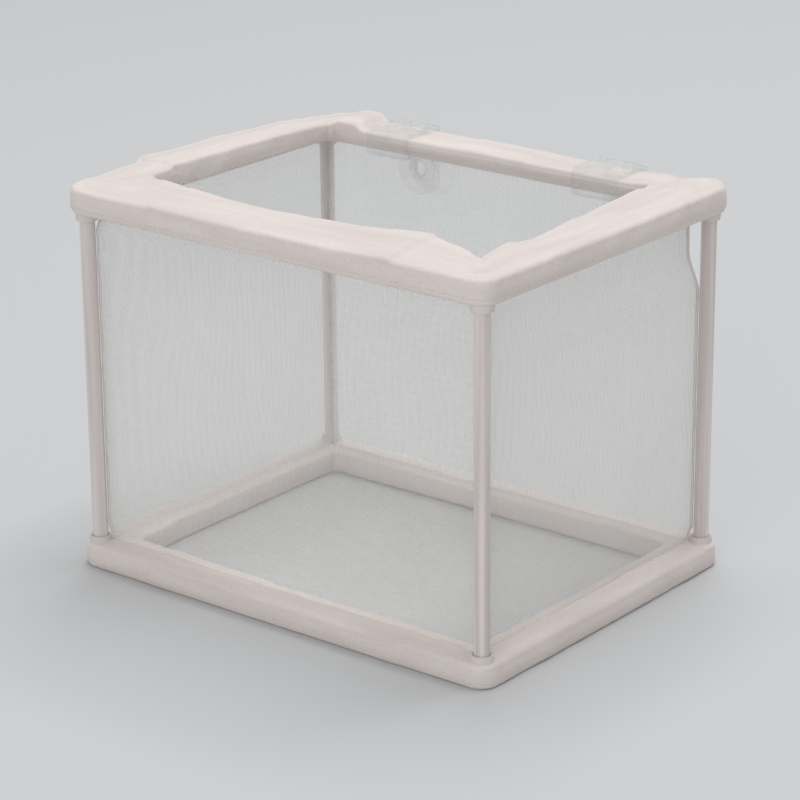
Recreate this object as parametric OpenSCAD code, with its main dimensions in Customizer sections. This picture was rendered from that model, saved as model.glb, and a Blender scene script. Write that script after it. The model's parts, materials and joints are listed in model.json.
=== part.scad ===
// Net breeding box: a light knock-down frame of rails, posts and three-way
// corner connectors, a sewn net bag whose hems sleeve the rails, and two
// sliding clips that carry turning suction cups.
// +X is to the right along the long side, +Y to the back, +Z up.
// The origin is at the middle of the base. Millimetres.

/* [Overall] */
// Length of the box over the hems
box_length = 166; // [140:1:220]
// Depth of the box over the hems
box_depth = 128; // [110:1:180]
// Height of the box over the hems
box_height = 127; // [100:1:180]
// Rounding of the box's upright corners
corner_radius = 6; // [5:0.5:8]

/* [Hems] */
// Height of each hem
hem_height = 7.5; // [7:0.25:10]
// Width of the top hem
top_hem_width = 16; // [15.5:0.5:20]
// Height of the top hem's thin inner edge
hem_edge = 4; // [3.5:0.25:5]
// Width of the bottom hem
bottom_hem_width = 12.5; // [12:0.25:14.5]
// Thickness of the hem's cloth
cloth = 0.8; // [0.5:0.1:1]
// Room between the cloth and the frame inside it
cloth_room = 0.3; // [0.2:0.05:0.4]

/* [Frame] */
// Wall of the hollow rails
rail_wall = 1; // [0.8:0.1:1.2]
// Rounding of the rails' long edges
rail_round = 1.6; // [1.3:0.1:2]
// Diameter of the corner posts
post_diameter = 5; // [4:0.25:5.5]
// Wall of the collar round each post
collar_wall = 1.2; // [1.1:0.1:1.4]
// Wall of the collar at its mouth
mouth_wall = 0.9; // [0.7:0.1:1.1]
// How far a collar stands out of its hem
collar_reach = 2.5; // [2:0.5:8]
// Depth of the socket that takes a post
socket_depth = 8.5; // [7:0.25:9.5]
// Bevel on the ends of posts and the mouths of sockets
lead_in = 0.5; // [0.3:0.1:0.7]
// Length of the plug that enters a rail
plug_length = 14; // [10:1:20]
// Clearance between a plug and its rail, each side
plug_clearance = 0.1; // [0.05:0.05:0.2]
// Radial clearance between a post and its socket
post_clearance = 0.06; // [0.04:0.01:0.1]
// Number of crush ribs along each plug
rib_count = 3; // [2:1:4]
// Width of a crush rib
rib_width = 0.9; // [0.6:0.1:1.2]

/* [Net] */
// Thickness of the net
net_thickness = 0.4; // [0.3:0.05:0.6]
// Size of the openings in the net's stand-in grid
net_cell = 12.5; // [12:0.5:20]
// Width of the bars between them
net_bar = 1.2; // [1:0.1:2]
// Width of a sewn corner seam
seam_width = 2.4; // [2:0.2:3]
// Gap between the net and the posts beside it
net_gap = 0.4; // [0.35:0.05:1]
// Gap at each sewn edge
sewn_gap = 0.3; // [0.2:0.05:0.3]

/* [Hanging clips] */
// Distance of each clip's middle from the end of the back rail
clip_from_end = 41; // [30:1:45]
// Width of a clip along the rail
clip_width = 18; // [14:1:20]
// Thickness of a clip's walls
clip_wall = 1.4; // [1.2:0.1:2]
// Clearance between a clip and the hem it slides on
clip_clearance = 0.5; // [0.3:0.05:0.6]
// How far the snap lips reach under the hem
lip_reach = 2; // [1.5:0.25:2.5]
// Height of a snap lip
lip_height = 1.4; // [1:0.1:1.6]
// Rounding of the clip's top plate
clip_round = 2.5; // [1.5:0.25:3]
// Depth of the cup's axis below the top of the box
cup_drop = 14.5; // [14:0.5:24]

/* [Suction cups] */
// Diameter of a suction cup's rim
cup_diameter = 22; // [20:1:27]
// Depth of a cup from its back to its rim
cup_depth = 5.6; // [5:0.2:8]
// Diameter of the neck that turns in the clip
neck_diameter = 5; // [4:0.25:5.5]
// Radial clearance of the neck in the clip
neck_clearance = 0.08; // [0.05:0.01:0.1]
// End play of the neck in the clip
neck_play = 0.4; // [0.3:0.05:0.6]
// Diameter of the snap head
head_diameter = 7.6; // [7:0.2:8.4]
// Thickness of the snap head
head_thickness = 2.6; // [2:0.1:3]
// Diameter of the hub behind the cup
hub_diameter = 9; // [8.5:0.5:11]
// Thickness of the hub behind the cup
hub_thickness = 2.4; // [2:0.1:3]
// Thickness of the cup's skin
cup_skin = 1.4; // [1.2:0.1:1.8]

/* [Hidden] */
$fn = 48;
// A cutter runs this far past the face it opens
over = 1;

half_length = box_length / 2;
half_depth = box_depth / 2;
// The rails and hubs start this far in from the hem's outer face
frame_inset = cloth + cloth_room;
frame_height = hem_height - 2 * frame_inset;
// Both rings share one rail, which fills the bottom hem
rail_width = bottom_hem_width - 2 * frame_inset;
collar_radius = post_diameter / 2 + post_clearance + collar_wall;
// The posts stand so that their collars clear the cloth
post_inset = frame_inset + collar_radius;
post_x = half_length - post_inset;
post_y = half_depth - post_inset;
// Heights of the frame inside the two hems
top_hem_base = box_height - hem_height;
// Inwards of its rail the top hem is a soft flap, and its underside slopes up
flap_start = frame_inset + rail_width + cloth_room;
flap_angle = atan2(hem_height - hem_edge, top_hem_width - flap_start);
top_frame_base = top_hem_base + frame_inset;
top_collar_end = top_hem_base - collar_reach;
bottom_collar_end = hem_height + collar_reach;
post_base = bottom_collar_end - socket_depth + post_clearance;
post_top = top_collar_end + socket_depth - post_clearance;
// The net hangs just inside the posts, and its corner seams clear the collars
net_inset = post_inset + post_diameter / 2 + net_gap;
net_base = hem_height + sewn_gap;
net_top = top_hem_base - sewn_gap;
seam_inset = net_inset + seam_width / 2;
// Heights and depths of the clip
clip_x = half_length - clip_from_end;
clip_inner_back = half_depth + clip_clearance;
clip_inner_front = half_depth - top_hem_width - clip_clearance;
clip_ceiling = box_height + clip_clearance;
lip_top = top_hem_base - clip_clearance;
// The front lip lies along the flap's sloped underside
front_lip_root = under_flap(clip_inner_front);
front_lip_tip = under_flap(clip_inner_front + lip_reach);
front_lip_base = front_lip_tip - lip_height / 2;
cup_height = box_height - cup_drop;
boss_margin = 0.5;
boss_radius = hub_diameter / 2 + boss_margin;
boss_thickness = 1;
// The back leg ends in a half circle about the cup's axis
clip_tail = cup_height - clip_width / 2;
boss_face = clip_inner_back + clip_wall + boss_thickness;
// Where the cup starts, behind the clip
neck_end = boss_face + neck_play / 2;

// The four corners, by name and side
CORNERS = [
    ["front_left", -1, -1], ["front_right", 1, -1],
    ["back_right", 1, 1], ["back_left", -1, 1]
];
// The four sides: name, outward direction and run
SIDES = [
    ["front", [0, -1]], ["back", [0, 1]],
    ["left", [-1, 0]], ["right", [1, 0]]
];

// ---------- shared shapes ----------

// A rectangle about the origin whose corners are round
module round_rect(width, depth, radius) {
    square([width - 2 * radius, depth], center = true);
    square([width, depth - 2 * radius], center = true);
    for (x = [-1, 1], y = [-1, 1])
        translate([x * (width / 2 - radius), y * (depth / 2 - radius)])
            circle(r = radius);
}

// Length of the side that faces a direction, and the distance of its outer face
function is_long(side) = side[1][0] == 0;
function half_run(side) = is_long(side) ? half_length : half_depth;
function half_across(side) = is_long(side) ? half_depth : half_length;
// Height that clears the flap of the back hem from below
function under_flap(y) =
    top_hem_base + (half_depth - y - flap_start) * tan(flap_angle)
    - clip_clearance / cos(flap_angle);
// Turn that brings the front side's shape to another side
function side_turn(side) =
    side[0] == "front" ? 0 : side[0] == "right" ? 90 : side[0] == "back" ? 180 : 270;

// ---------- hems ----------

// Plan of one side's strip, cut on the mitre; the side lies along -Y. The
// channel inside the strip has its plan set in by a skin of cloth.
module strip_plan(run, across, width, skin) {
    inner = width - skin;
    intersection() {
        round_rect(2 * (run - skin), 2 * (across - skin), corner_radius - skin);
        polygon([
            [-run, -across], [run, -across],
            [run - inner, -across + inner], [-run + inner, -across + inner]
        ]);
    }
}

// What is cut away below the sloped flap of a strip, or below its channel
module flap_cut(run, across, width, skin) {
    rise = skin / cos(flap_angle);
    low = flap_start - (over + rise) / tan(flap_angle);
    high = (width + over - flap_start) * tan(flap_angle) + rise;
    translate([-run - over, -across, 0])
        rotate([90, 0, 90])
            linear_extrude(2 * (run + over))
                polygon([[low, -over], [width + over, -over], [width + over, high]]);
}

// A strip, or its channel, from its base up
module strip_bar(run, across, width, skin, has_flap) {
    difference() {
        translate([0, 0, skin])
            linear_extrude(hem_height - 2 * skin)
                strip_plan(run, across, width, skin);
        if (has_flap) flap_cut(run, across, width, skin);
    }
}

// One strip of a hem: a sleeve round its rail, open to the collars
module hem_strip(side, width, base, collar_end, has_flap) {
    run = half_run(side);
    across = half_across(side);
    color("whitesmoke")
        rotate([0, 0, side_turn(side)])
            difference() {
                translate([0, 0, base]) strip_bar(run, across, width, 0, has_flap);
                translate([0, 0, base]) strip_bar(run, across, width, cloth, has_flap);
                for (end = [-1, 1])
                    translate([
                        end * (run - post_inset), post_inset - across,
                        min(collar_end, base + hem_height / 2)
                    ])
                        cylinder(
                            r = collar_radius + cloth_room,
                            h = abs(collar_end - base - hem_height / 2)
                        );
            }
}

module top_hem(side) { hem_strip(side, top_hem_width, top_hem_base, top_collar_end, true); }
module bottom_hem(side) { hem_strip(side, bottom_hem_width, 0, bottom_collar_end, false); }

// ---------- rails ----------

// Section of a rail: across its width and up its height
module rail_section(inset) {
    round_rect(rail_width - 2 * inset, frame_height - 2 * inset, rail_round - inset);
}

// One hollow rail between two corner hubs
module rail(side, base) {
    length = 2 * (half_run(side) - frame_inset - rail_width);
    color("gainsboro")
        rotate([0, 0, side_turn(side)])
            translate([
                -length / 2,
                frame_inset + rail_width / 2 - half_across(side),
                base + frame_height / 2
            ])
                rotate([90, 0, 90])
                    linear_extrude(length)
                        difference() {
                            rail_section(0);
                            rail_section(rail_wall);
                        }
}

module top_rail(side) { rail(side, top_frame_base); }
module bottom_rail(side) { rail(side, frame_inset); }

// ---------- corner connectors ----------

// A plug along +X from a hub, with a bevelled tip and crush ribs on both faces
module rail_plug() {
    core_width = rail_width - 2 * (rail_wall + plug_clearance);
    core_height = frame_height - 2 * (rail_wall + plug_clearance);
    rib_height = plug_clearance / 2;
    tip = 1.5;
    // The plug's body, sunk a little into the hub
    translate([-over, 0, 0])
        rotate([90, 0, 90])
            linear_extrude(plug_length - tip + over)
                square([core_width - 2 * lead_in, core_height], center = true);
    translate([-over, -core_width / 2, -core_height / 2 + lead_in])
        cube([plug_length - tip + over, core_width, core_height - 2 * lead_in]);
    // The bevelled tip
    translate([plug_length - tip - lead_in, 0, 0])
        rotate([90, 0, 0])
            linear_extrude(core_width - 2 * tip, center = true)
                polygon([
                    [0, -core_height / 2], [lead_in, -core_height / 2],
                    [tip + lead_in, -core_height / 2 + lead_in],
                    [tip + lead_in, core_height / 2 - lead_in],
                    [lead_in, core_height / 2], [0, core_height / 2]
                ]);
    // The crush ribs
    for (i = [0:rib_count - 1])
        translate([
            0,
            (i + 0.5 - rib_count / 2) * core_width / rib_count - rib_width / 2,
            -core_height / 2 - rib_height
        ])
            cube([plug_length - 2 * tip, rib_width, core_height + 2 * rib_height]);
}

// A three-way connector for the corner at -X, -Y, with its post socket along +Z.
// Its hub fills the square between the ends of the two rails.
module connector() {
    hub = rail_width;
    hub_radius = corner_radius - frame_inset;
    socket_at = post_inset - frame_inset;
    socket_radius = post_diameter / 2 + post_clearance;
    cloth_end = frame_height + frame_inset;
    collar_top = cloth_end + collar_reach;
    difference() {
        union() {
            linear_extrude(frame_height)
                union() {
                    translate([hub_radius, 0]) square([hub - hub_radius, hub]);
                    translate([0, hub_radius]) square([hub, hub - hub_radius]);
                    translate([hub_radius, hub_radius]) circle(r = hub_radius);
                }
            // The collar: straight through the cloth, then tapered to its mouth
            translate([socket_at, socket_at, frame_height - over])
                cylinder(r = collar_radius, h = cloth_end - frame_height + over);
            translate([socket_at, socket_at, cloth_end])
                cylinder(
                    r1 = collar_radius, r2 = socket_radius + mouth_wall,
                    h = collar_reach
                );
            translate([hub, hub / 2, frame_height / 2]) rail_plug();
            translate([hub / 2, hub, frame_height / 2])
                rotate([0, 0, 90]) rail_plug();
        }
        // The socket, with a bevelled mouth
        translate([socket_at, socket_at, collar_top - socket_depth])
            cylinder(r = socket_radius, h = socket_depth + over);
        translate([socket_at, socket_at, collar_top - lead_in])
            cylinder(r1 = socket_radius, r2 = socket_radius + lead_in, h = lead_in);
    }
}

// Brings the connector from the -X, -Y corner to any corner
module at_corner(corner) {
    mirror([corner[1] > 0 ? 1 : 0, 0, 0])
        mirror([0, corner[2] > 0 ? 1 : 0, 0])
            translate([frame_inset - half_length, frame_inset - half_depth, 0])
                children();
}

module bottom_corner(corner) {
    color("white")
        at_corner(corner)
            translate([0, 0, frame_inset]) connector();
}

module top_corner(corner) {
    color("white")
        at_corner(corner)
            translate([0, 0, box_height - frame_inset])
                mirror([0, 0, 1]) connector();
}

// ---------- posts ----------

module post(corner) {
    length = post_top - post_base;
    radius = post_diameter / 2;
    color("lightgray")
        translate([corner[1] * post_x, corner[2] * post_y, post_base])
            rotate_extrude()
                polygon([
                    [0, 0], [radius - lead_in, 0], [radius, lead_in],
                    [radius, length - lead_in], [radius - lead_in, length], [0, length]
                ]);
}

// ---------- net bag ----------

// A panel of net, drawn as a coarse grid of square openings
module net_panel(width, height) {
    across = round(width / net_cell);
    up = round(height / net_cell);
    step_across = (width - net_bar) / across;
    step_up = (height - net_bar) / up;
    difference() {
        square([width, height]);
        for (i = [0:across - 1], j = [0:up - 1])
            translate([net_bar + i * step_across, net_bar + j * step_up])
                square([step_across - net_bar, step_up - net_bar]);
    }
}

// One wall of the bag, between two corner seams
module net_wall(side) {
    run = half_run(side) - seam_inset - seam_width / 2 - sewn_gap;
    color("white", 0.5)
        rotate([0, 0, side_turn(side)])
            translate([-run, net_inset + net_thickness - half_across(side), net_base])
                rotate([90, 0, 0])
                    linear_extrude(net_thickness) net_panel(2 * run, net_top - net_base);
}

// The floor of the bag, level with the underside of the bottom hem
module net_floor() {
    inset = bottom_hem_width + sewn_gap;
    color("white", 0.5)
        translate([inset - half_length, inset - half_depth, 0])
            linear_extrude(net_thickness)
                net_panel(box_length - 2 * inset, box_depth - 2 * inset);
}

// The sewn seam where two walls meet
module corner_seam(corner) {
    color("white")
        translate([
            corner[1] * (half_length - seam_inset),
            corner[2] * (half_depth - seam_inset), net_base
        ])
            linear_extrude(net_top - net_base)
                round_rect(seam_width, seam_width, seam_width / 4);
}

// ---------- hanging clips ----------

// Side profile of the clip, in Y and Z: a top plate, a short front leg with a
// lip under the hem's flap, and a long back leg with a lip under its rail
module clip_profile() {
    back = clip_inner_back;
    front = clip_inner_front;
    top = clip_ceiling + clip_wall;
    lip_base = lip_top - lip_height;
    polygon([
        [front - clip_wall, front_lip_base], [front + lip_reach / 2, front_lip_base],
        [front + lip_reach, front_lip_tip], [front, front_lip_root],
        [front, clip_ceiling], [back, clip_ceiling],
        [back, lip_top], [back - lip_reach, lip_top],
        [back - lip_reach / 2, lip_base], [back, lip_base],
        [back, clip_tail], [back + clip_wall, clip_tail],
        [back + clip_wall, top - clip_wall],
        [back, top],
        [front, top], [front - clip_wall, top - clip_wall]
    ]);
}

// Outline of the back leg, seen along Y, with the cup's axis at its origin
module leg_outline() {
    circle(r = clip_width / 2);
    translate([-clip_width / 2, 0]) square([clip_width, box_height]);
}

module clip(x) {
    bore_radius = neck_diameter / 2 + neck_clearance;
    mid_y = (clip_inner_front + clip_inner_back) / 2;
    depth = clip_inner_back - clip_inner_front + 2 * clip_wall;
    color("azure", 0.6)
        translate([x, 0, 0])
            difference() {
                union() {
                    intersection() {
                        rotate([90, 0, 90])
                            linear_extrude(clip_width, center = true) clip_profile();
                        // Rounds the plate in plan
                        translate([0, mid_y, clip_tail - over])
                            linear_extrude(box_height)
                                round_rect(clip_width, depth, clip_round);
                        // Rounds the end of the back leg
                        translate([0, clip_inner_back + clip_wall + over, cup_height])
                            rotate([90, 0, 0])
                                linear_extrude(depth + 2 * over) leg_outline();
                    }
                    translate([0, clip_inner_back, cup_height])
                        rotate([-90, 0, 0])
                            cylinder(r = boss_radius, h = clip_wall + boss_thickness);
                }
                translate([0, clip_inner_back - over, cup_height])
                    rotate([-90, 0, 0])
                        cylinder(r = bore_radius, h = clip_wall + boss_thickness + 2 * over);
            }
}

// ---------- suction cups ----------

// Half section of a cup about its own axis: the snap head, the neck, the hub
// and a skin that flares to a thin rim
module cup_section() {
    neck = neck_diameter / 2;
    head = head_diameter / 2;
    hub = hub_diameter / 2;
    rim = cup_diameter / 2;
    // The head starts just inside the clip's back leg, and tapers to its tip
    head_end = clip_inner_back - neck_end - neck_play / 2;
    head_tip = head_end - head_thickness;
    tip_radius = head * 0.6;
    // The skin leaves the hub part way along it and ends in a thin flat rim
    skin_start = hub_thickness * 0.6;
    skin_depth = cup_depth - skin_start;
    rim_edge = 0.3;
    rim_land = 0.8;
    outer_curve = 1.6;
    inner_curve = 2.4;
    steps = 6;
    polygon(concat(
        [[0, head_tip], [tip_radius, head_tip],
         [head, head_end - head_thickness / 2], [head, head_end],
         [neck, head_end], [neck, 0], [hub, 0], [hub, skin_start]],
        // Outside of the skin, out to the rim
        [for (i = [1:steps - 1])
            [hub + (rim - hub) * i / steps,
             skin_start + skin_depth * pow(i / steps, outer_curve)]],
        [[rim, cup_depth - rim_edge], [rim, cup_depth]],
        // Inside of the skin, back to the axis
        [for (i = [steps:-1:0])
            [(rim - rim_land) * i / steps,
             skin_start + cup_skin
                + (skin_depth - cup_skin) * pow(i / steps, inner_curve)]]
    ));
}

module suction_cup(x) {
    color("azure", 0.5)
        translate([x, neck_end, cup_height])
            rotate([-90, 0, 0])
                rotate_extrude() cup_section();
}

// ---------- the assembly ----------

for (side = SIDES) {
    top_hem(side);
    bottom_hem(side);
    top_rail(side);
    bottom_rail(side);
    net_wall(side);
}
for (corner = CORNERS) {
    top_corner(corner);
    bottom_corner(corner);
    post(corner);
    corner_seam(corner);
}
net_floor();
clip(-clip_x);  // clip_left
clip(clip_x);  // clip_right
suction_cup(-clip_x);  // suction_cup_left
suction_cup(clip_x);  // suction_cup_right
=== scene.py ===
"""Looks for the net breeding box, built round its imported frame."""

import math

import bmesh
import bpy
import numpy as np
from mathutils import Matrix, Vector
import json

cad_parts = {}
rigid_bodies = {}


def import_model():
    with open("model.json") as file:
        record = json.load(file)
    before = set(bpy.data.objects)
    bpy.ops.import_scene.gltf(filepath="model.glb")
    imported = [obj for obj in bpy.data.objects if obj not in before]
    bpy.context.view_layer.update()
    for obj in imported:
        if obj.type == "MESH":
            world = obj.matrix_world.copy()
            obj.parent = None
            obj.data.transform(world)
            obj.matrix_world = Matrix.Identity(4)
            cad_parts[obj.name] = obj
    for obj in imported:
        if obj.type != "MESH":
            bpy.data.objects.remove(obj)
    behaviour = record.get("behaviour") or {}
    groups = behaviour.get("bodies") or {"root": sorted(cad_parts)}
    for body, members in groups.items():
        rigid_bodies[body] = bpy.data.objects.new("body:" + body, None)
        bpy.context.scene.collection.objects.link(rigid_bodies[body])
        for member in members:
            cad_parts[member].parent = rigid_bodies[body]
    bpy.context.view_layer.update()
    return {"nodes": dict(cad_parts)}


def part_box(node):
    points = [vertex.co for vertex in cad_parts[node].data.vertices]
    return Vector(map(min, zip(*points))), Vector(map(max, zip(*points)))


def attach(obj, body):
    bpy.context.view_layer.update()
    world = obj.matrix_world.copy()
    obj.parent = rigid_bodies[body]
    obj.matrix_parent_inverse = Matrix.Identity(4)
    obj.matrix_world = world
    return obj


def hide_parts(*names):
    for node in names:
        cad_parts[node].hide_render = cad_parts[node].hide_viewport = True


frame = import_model()

MM = 0.001
# The frame's own sizes, in millimetres: half its length and depth over the hems,
# the hems' rounding, height and widths, and how high the top one starts
HALF_X, HALF_Y = 83.0, 64.0
CORNER_ROUND = 6.0
HEM_HEIGHT = 7.5
TOP_HEM_BASE = 119.5
TOP_HEM_WIDTH, BOTTOM_HEM_WIDTH = 16.0, 12.5
# Where the top hem's soft flap begins, and how far in the net hangs, both from
# the outer face
FLAP_START = 11.7
NET_INSET = 7.96
SIDES = ("front", "right", "back", "left")
CORNERS = {
    "front_left": (-1, -1),
    "front_right": (1, -1),
    "back_right": (1, 1),
    "back_left": (-1, 1),
}

# ---------------------------------------------------------------- camera

# Where the camera stands, in degrees and metres, what it points at, its lens and
# sensor in millimetres, and the nearest that it shows
AZIMUTH, ELEVATION, ROLL = 38.65, 19.54, -0.48
DISTANCE = 0.98
AIM = (0.00165, -0.00152, 0.05726)
LENS, SENSOR = 137.5, 36.0
NEAR_LIMIT = 0.01


def set_camera():
    azimuth, elevation = math.radians(AZIMUTH), math.radians(ELEVATION)
    level = math.cos(elevation)
    away = Vector(
        (math.sin(azimuth) * level, -math.cos(azimuth) * level, math.sin(elevation))
    )
    data = bpy.data.cameras.new("camera")
    data.lens = LENS
    data.sensor_width = SENSOR
    data.clip_start = NEAR_LIMIT
    camera = bpy.data.objects.new("camera", data)
    bpy.context.scene.collection.objects.link(camera)
    camera.location = Vector(AIM) + DISTANCE * away
    turn = (-away).to_track_quat("-Z", "Y").to_matrix()
    camera.rotation_euler = (turn @ Matrix.Rotation(math.radians(ROLL), 3, "Z")).to_euler()
    bpy.context.scene.camera = camera


# ---------------------------------------------------------------- materials

# Colours as the shader takes them: the deep and the pale shade of each material
BINDING_SHADES = ((0.735, 0.652, 0.615, 1), (0.83, 0.765, 0.73, 1))
TAPE_SHADES = ((0.80, 0.765, 0.74, 1), (0.87, 0.845, 0.82, 1))
NET_SHADES = ((0.90, 0.90, 0.885, 1), (0.96, 0.955, 0.94, 1))
SEWING_SHADES = ((0.68, 0.605, 0.575, 1), (0.76, 0.69, 0.66, 1))
# The rod's deep and pale colours, mixed in lengthwise stripes: painted highlights and dark reflections
ROD_PAINTED_HIGHLIGHT_STRIPES = ((0.60, 0.535, 0.52, 1), (0.80, 0.74, 0.715, 1))
MOULDED_SHADES = ((0.66, 0.60, 0.585, 1), (0.74, 0.685, 0.665, 1))
# Painted shade: the binding's weave gaps are darkened towards this colour
WEAVE_GAP_PAINTED_SHADE = (0.57, 0.49, 0.465, 1)
# Painted shade: flecks are darkened towards this colour in the hollows of the fine bump
FLECK_PAINTED_SHADE = (0.61, 0.53, 0.505, 1)
CLIP_TINT = (0.84, 0.86, 0.85, 1)
CUP_TINT = (0.82, 0.86, 0.85, 1)
# How much paler a clear moulding gets in its flow marks
CLEAR_LIFT = 1.06
# Distance between the binding's threads, in millimetres
WEAVE_PITCH = 0.55
# How quickly the binding's shade changes along and across a strip
STREAK = (0.022, 0.16, 1)
# How a rod's pattern is drawn out along it
DRAWN = (1, 1, 0.02)
PLASTIC_IOR = 1.49


def new_material(name, **sockets):
    """A Principled material with constants set on its own sockets."""
    material = bpy.data.materials.new(name)
    material.use_nodes = True
    shader = material.node_tree.nodes["Principled BSDF"]
    for socket, value in sockets.items():
        shader.inputs[socket.replace("_", " ")].default_value = value
    return material, material.node_tree, shader


def add_node(tree, kind, links=None, **settings):
    """A node with its settings, and with its inputs set or linked."""
    node = tree.nodes.new(kind)
    for key, value in settings.items():
        setattr(node, key, value)
    for key, value in (links or {}).items():
        if isinstance(value, bpy.types.NodeSocket):
            tree.links.new(value, node.inputs[key])
        else:
            node.inputs[key].default_value = value
    return node


def colour_mix(tree, factor, first, second):
    """The mix of two colours. The sockets go by number, as a Mix node has
    several of the same name."""
    return add_node(tree, "ShaderNodeMix", {0: factor, 6: first, 7: second}, data_type="RGBA").outputs[2]


def noise(tree, vector, scale, detail, distortion=0.0):
    """The grey value of a noise texture."""
    links = {"Vector": vector, "Scale": scale, "Detail": detail, "Distortion": distortion}
    return add_node(tree, "ShaderNodeTexNoise", links).outputs["Fac"]


def remap(tree, value, low, high, to_low=0.0, to_high=1.0):
    """A value stretched from one range to another, and held within it."""
    links = {"Value": value, "From Min": low, "From Max": high, "To Min": to_low, "To Max": to_high}
    return add_node(tree, "ShaderNodeMapRange", links).outputs[0]


def object_place(tree):
    """A point's place on its own piece."""
    return add_node(tree, "ShaderNodeTexCoord").outputs["Object"]


def add_bump(tree, shader, height, strength, distance):
    """Raises a material's surface by a height, without moving its mesh."""
    links = {"Height": height, "Strength": strength, "Distance": distance}
    bump = add_node(tree, "ShaderNodeBump", links)
    tree.links.new(bump.outputs[0], shader.inputs["Normal"])


def weave_height(tree, vector):
    """The height of a plain weave in a map that is measured in millimetres."""
    # A wave texture repeats every pi / 10 at a scale of 1
    links = {"Vector": vector, "Scale": math.pi / 10 / WEAVE_PITCH, "Distortion": 0.6, "Detail": 1.0}
    waves = []
    for direction in ("X", "Y"):
        settings = {"wave_type": "BANDS", "bands_direction": direction}
        waves.append(add_node(tree, "ShaderNodeTexWave", links, **settings).outputs["Fac"])
    product = add_node(tree, "ShaderNodeMath", {0: waves[0], 1: waves[1]}, operation="MULTIPLY")
    return product.outputs[0]


def binding_cloth(name, deep, pale):
    """Soft white binding: a fine plain weave, with shades that run along it, and painted shade in the
    weave's gaps and in the hollows of its fine bump.
    """
    material, tree, shader = new_material(
        name, Roughness=0.88, Sheen_Weight=0.25, Sheen_Roughness=0.45
    )
    uv = add_node(tree, "ShaderNodeUVMap", uv_map="cloth").outputs[0]
    place = object_place(tree)
    weave = weave_height(tree, uv)
    along = add_node(tree, "ShaderNodeMapping", {"Vector": uv, "Scale": STREAK}).outputs[0]
    broad = noise(tree, along, 1.0, 3.0)
    fine = noise(tree, place, 1400.0, 2.0)
    cloth = colour_mix(tree, remap(tree, broad, 0.3, 0.7), deep, pale)
    # Painted shade in the weave's gaps, where the weave's height is lowest
    gap_shaded = colour_mix(tree, remap(tree, weave, 0.0, 0.5, 0.2, 0.0), cloth, WEAVE_GAP_PAINTED_SHADE)
    # Painted shade in the hollows of the fine bump, which the same noise raises
    fleck_shaded = colour_mix(tree, remap(tree, fine, 0.3, 0.5, 0.35, 0.0), gap_shaded, FLECK_PAINTED_SHADE)
    tree.links.new(fleck_shaded, shader.inputs["Base Color"])
    height = add_node(tree, "ShaderNodeMath", {0: weave, 1: fine}, operation="ADD").outputs[0]
    add_bump(tree, shader, height, 0.35, 0.0001)
    return material


def net_thread():
    """Fine white nylon thread."""
    material, tree, shader = new_material("net_thread", Roughness=0.5, Alpha=0.38)
    cloud = noise(tree, object_place(tree), 60.0, 2.0)
    tree.links.new(colour_mix(tree, cloud, *NET_SHADES), shader.inputs["Base Color"])
    return material


def sewing_thread():
    """Slightly glossy polyester sewing thread."""
    material, tree, shader = new_material("sewing_thread", Roughness=0.5, Sheen_Weight=0.15)
    cloud = noise(tree, object_place(tree), 900.0, 1.0)
    tree.links.new(colour_mix(tree, cloud, *SEWING_SHADES), shader.inputs["Base Color"])
    return material


def rod_plastic():
    """Smooth pale grey rod: faint lengthwise draw lines under a soft gloss, with painted lengthwise
    stripes of highlight and dark reflection.
    """
    material, tree, shader = new_material(
        "rod_plastic", Roughness=0.3, Coat_Weight=0.6, Coat_Roughness=0.1, IOR=PLASTIC_IOR
    )
    links = {"Vector": object_place(tree), "Scale": DRAWN}
    drawn = add_node(tree, "ShaderNodeMapping", links).outputs[0]
    lines = noise(tree, drawn, 1500.0, 2.0)
    # Painted highlights and dark reflections: pale and deep lengthwise stripes along the rod
    band = remap(tree, noise(tree, drawn, 420.0, 1.0), 0.35, 0.65)
    tree.links.new(colour_mix(tree, band, *ROD_PAINTED_HIGHLIGHT_STRIPES), shader.inputs["Base Color"])
    add_bump(tree, shader, lines, 0.15, 0.00006)
    return material


def moulded_plastic():
    """White moulded plastic with a fine spark-eroded texture."""
    material, tree, shader = new_material("moulded_plastic", Roughness=0.42, IOR=PLASTIC_IOR)
    place = object_place(tree)
    cloud = noise(tree, place, 70.0, 2.0)
    tree.links.new(colour_mix(tree, cloud, *MOULDED_SHADES), shader.inputs["Base Color"])
    add_bump(tree, shader, noise(tree, place, 2600.0, 2.0), 0.2, 0.00005)
    return material


def clear_moulding(name, tint, roughness, thin, edge, relief):
    """Clear plastic or vinyl: see-through face on, fuller at its edges, with
    flow marks of a given relief."""
    material, tree, shader = new_material(
        name, Roughness=roughness, IOR=PLASTIC_IOR, Coat_Weight=0.4, Coat_Roughness=0.05
    )
    flow = noise(tree, object_place(tree), 180.0, 2.0, 1.2)
    pale = tuple(min(1.0, CLEAR_LIFT * c) for c in tint[:3]) + (1,)
    tree.links.new(colour_mix(tree, flow, tint, pale), shader.inputs["Base Color"])
    facing = add_node(tree, "ShaderNodeLayerWeight", {"Blend": 0.35}).outputs["Facing"]
    tree.links.new(remap(tree, facing, 0.1, 0.9, thin, edge), shader.inputs["Alpha"])
    add_bump(tree, shader, flow, 1.0, relief)
    return material


# ---------------------------------------------------------------- mesh helpers


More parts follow.
